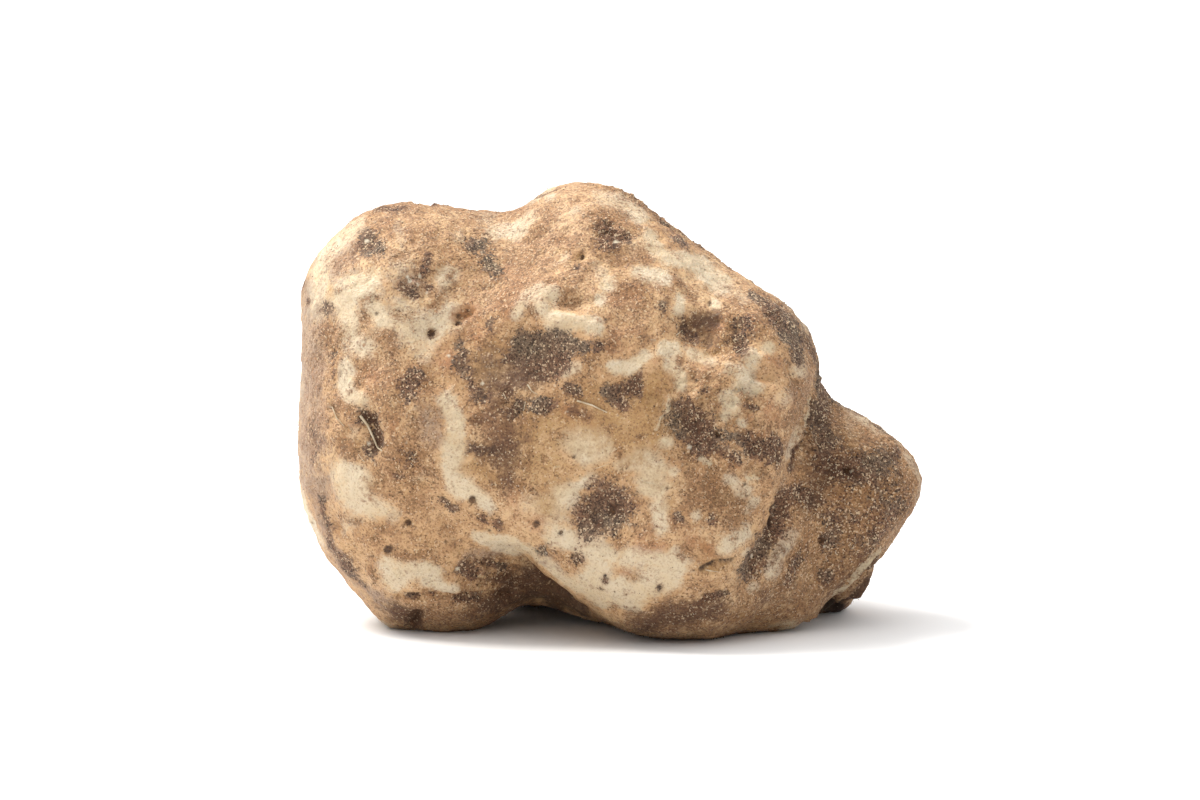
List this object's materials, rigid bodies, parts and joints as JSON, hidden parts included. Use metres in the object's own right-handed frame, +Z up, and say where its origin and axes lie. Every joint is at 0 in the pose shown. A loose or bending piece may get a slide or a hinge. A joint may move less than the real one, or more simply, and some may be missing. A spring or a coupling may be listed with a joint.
{
  "type": "white truffle",
  "caption": "Knobbly white truffle resting on its feet, with a folded belly, a saddle between its lobes and a nose at one end.",
  "frame": {"origin": "on the surface the truffle rests on, under the middle of its outer box", "axes": "+Z up, +X towards the nose, -Y towards the belly"},
  "size_m": [0.06, 0.0424, 0.042],
  "materials": {
    "skin": "matt cream skin with ochre and brown blotches, dusted with soil and sand"
  },
  "bodies": {
    "root": {"truffle": "skin"}
  },
  "joints": []
}
